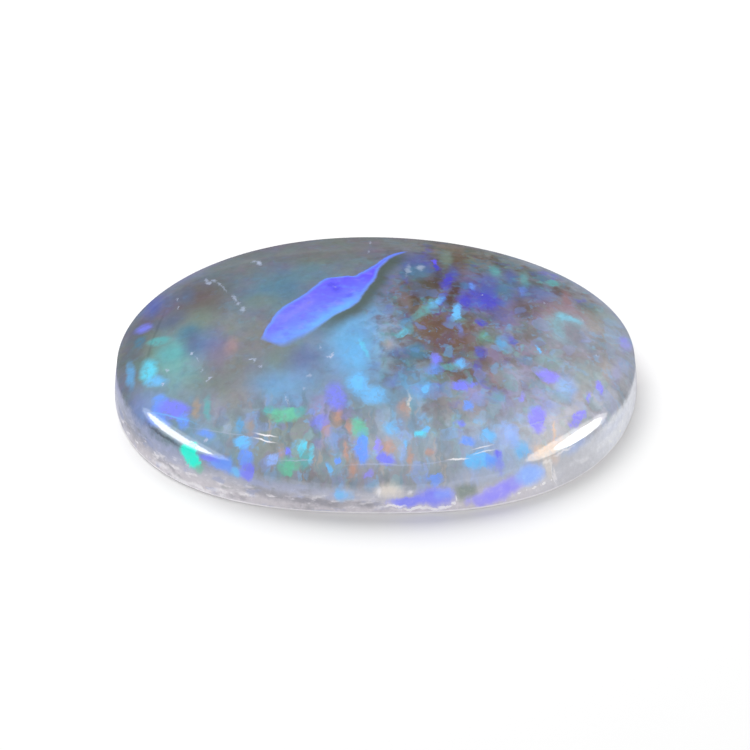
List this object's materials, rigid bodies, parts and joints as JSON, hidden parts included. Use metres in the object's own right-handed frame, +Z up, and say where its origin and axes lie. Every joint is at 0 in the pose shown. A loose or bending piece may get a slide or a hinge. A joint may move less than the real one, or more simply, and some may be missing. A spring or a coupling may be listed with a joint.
{
  "type": "oval opal cabochon",
  "caption": "Loose oval black opal cabochon with a low polished dome, a nearly upright wall and a flat back.",
  "frame": {"origin": "middle of the flat back, on the surface the stone rests on", "axes": "+X along the long axis, +Z up through the dome, +Y away from the side that the picture shows"},
  "size_m": [0.014, 0.01, 0.0026],
  "materials": {
    "opal": "gloss"
  },
  "bodies": {
    "root": {"cabochon": "opal"}
  },
  "joints": []
}
